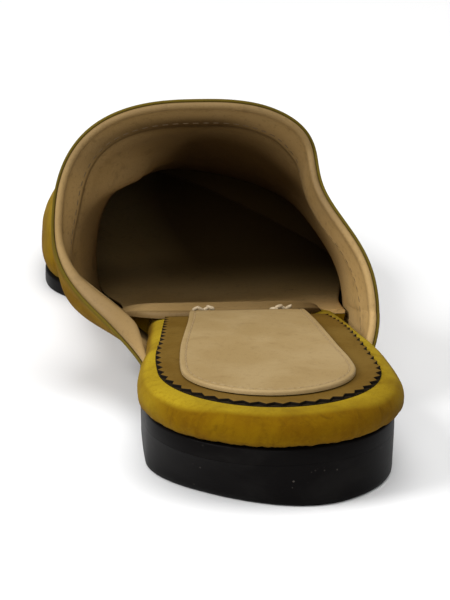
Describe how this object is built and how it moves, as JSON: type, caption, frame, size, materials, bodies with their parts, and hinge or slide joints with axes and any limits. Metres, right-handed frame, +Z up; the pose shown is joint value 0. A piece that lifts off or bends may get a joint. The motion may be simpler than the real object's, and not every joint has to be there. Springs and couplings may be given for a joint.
{
  "type": "mule shoe",
  "caption": "Flat backless suede mule for the right foot, with a lined vamp, a wrapped padded footbed, a pinked leather sock and a low black heel.",
  "frame": {"origin": "on the floor, under the middle of the shoe's bounding box", "axes": "+Y from heel to toe, +Z up, +X to the outer side of the right foot"},
  "size_m": [0.0894, 0.2638, 0.0742],
  "materials": {
    "sole_black": "satin black rubber, lightly dusted",
    "mustard_suede": "mustard yellow suede with a short nap and darker brushed patches",
    "tan_lining": "smooth tan lining leather",
    "brown_leather": "matt olive brown leather with a pinked edge",
    "tan_leather": "smooth light tan leather, stitched along its edge"
  },
  "bodies": {
    "root": {"outsole": "sole_black", "heel": "sole_black", "upper": "mustard_suede", "footbed": "mustard_suede", "insole": "tan_lining", "sock_border": "brown_leather", "sock_pad": "tan_leather"}
  },
  "joints": []
}
